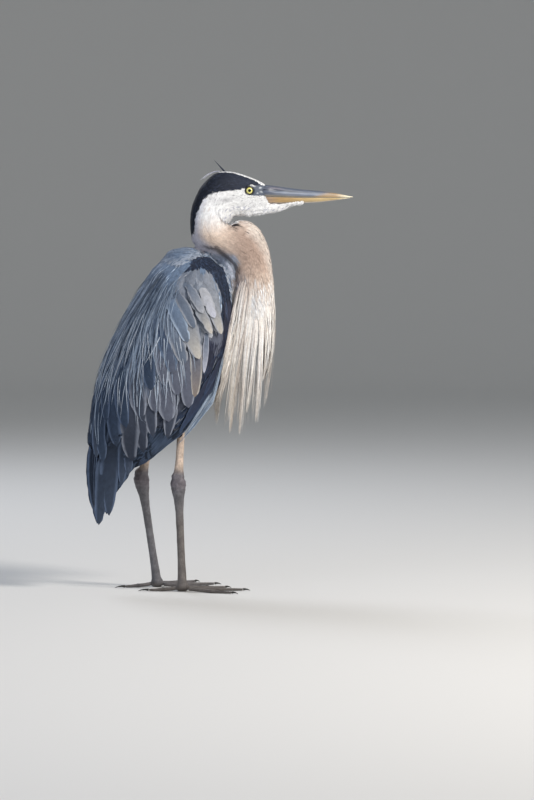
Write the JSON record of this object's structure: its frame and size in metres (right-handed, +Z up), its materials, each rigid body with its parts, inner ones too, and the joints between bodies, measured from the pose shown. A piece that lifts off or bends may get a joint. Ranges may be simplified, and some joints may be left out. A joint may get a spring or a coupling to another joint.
{
  "type": "great blue heron",
  "caption": "Great blue heron standing at rest with its neck drawn in, a still life-size wading bird with hanging breast plumes.",
  "frame": {"origin": "middle of the model's box, at the level of the soles", "axes": "+Z up, +X the way the bill points, +Y the bird's left"},
  "size_m": [0.4586, 0.2114, 0.7313],
  "materials": {
    "white_face_feathers": "soft matt feathers",
    "buff_neck_feathers": "soft matt feathers",
    "cream_plumes": "long silky plumes",
    "slate_body_feathers": "matt feathers",
    "blue_grey_wing_feathers": "matt feathers with a faint sheen",
    "dark_slate_flight_feathers": "smooth vanes with a faint sheen",
    "chestnut_thigh_feathers": "short soft feathers",
    "black_crest_plume": "smooth",
    "bill_horn": "satin horn",
    "scaly_leg_skin": "scaly skin, matt",
    "claw_horn": "satin horn",
    "yellow_eye": "wet gloss"
  },
  "bodies": {
    "root": {"head": "white_face_feathers", "bill_upper": "bill_horn", "bill_lower": "bill_horn", "crest_plume_raised": "black_crest_plume", "crest_plume_lying": "black_crest_plume", "neck_upper": "buff_neck_feathers", "neck_middle": "buff_neck_feathers", "neck_lower": "buff_neck_feathers", "breast_plumes": "cream_plumes", "trunk": "slate_body_feathers", "tail": "dark_slate_flight_feathers", "eye_right": "yellow_eye", "mantle_right": "blue_grey_wing_feathers", "wing_right": "blue_grey_wing_feathers", "primaries_right": "dark_slate_flight_feathers", "thigh_right": "chestnut_thigh_feathers", "shank_right": "scaly_leg_skin", "tarsus_right": "scaly_leg_skin", "foot_right": "scaly_leg_skin", "middle_toe_right": "scaly_leg_skin", "middle_toe_claw_right": "claw_horn", "inner_toe_right": "scaly_leg_skin", "inner_toe_claw_right": "claw_horn", "outer_toe_right": "scaly_leg_skin", "outer_toe_claw_right": "claw_horn", "hallux_right": "scaly_leg_skin", "hallux_claw_right": "claw_horn", "eye_left": "yellow_eye", "mantle_left": "blue_grey_wing_feathers", "wing_left": "blue_grey_wing_feathers", "primaries_left": "dark_slate_flight_feathers", "thigh_left": "chestnut_thigh_feathers", "shank_left": "scaly_leg_skin", "tarsus_left": "scaly_leg_skin", "foot_left": "scaly_leg_skin", "middle_toe_left": "scaly_leg_skin", "middle_toe_claw_left": "claw_horn", "inner_toe_left": "scaly_leg_skin", "inner_toe_claw_left": "claw_horn", "outer_toe_left": "scaly_leg_skin", "outer_toe_claw_left": "claw_horn", "hallux_left": "scaly_leg_skin", "hallux_claw_left": "claw_horn"}
  },
  "joints": []
}
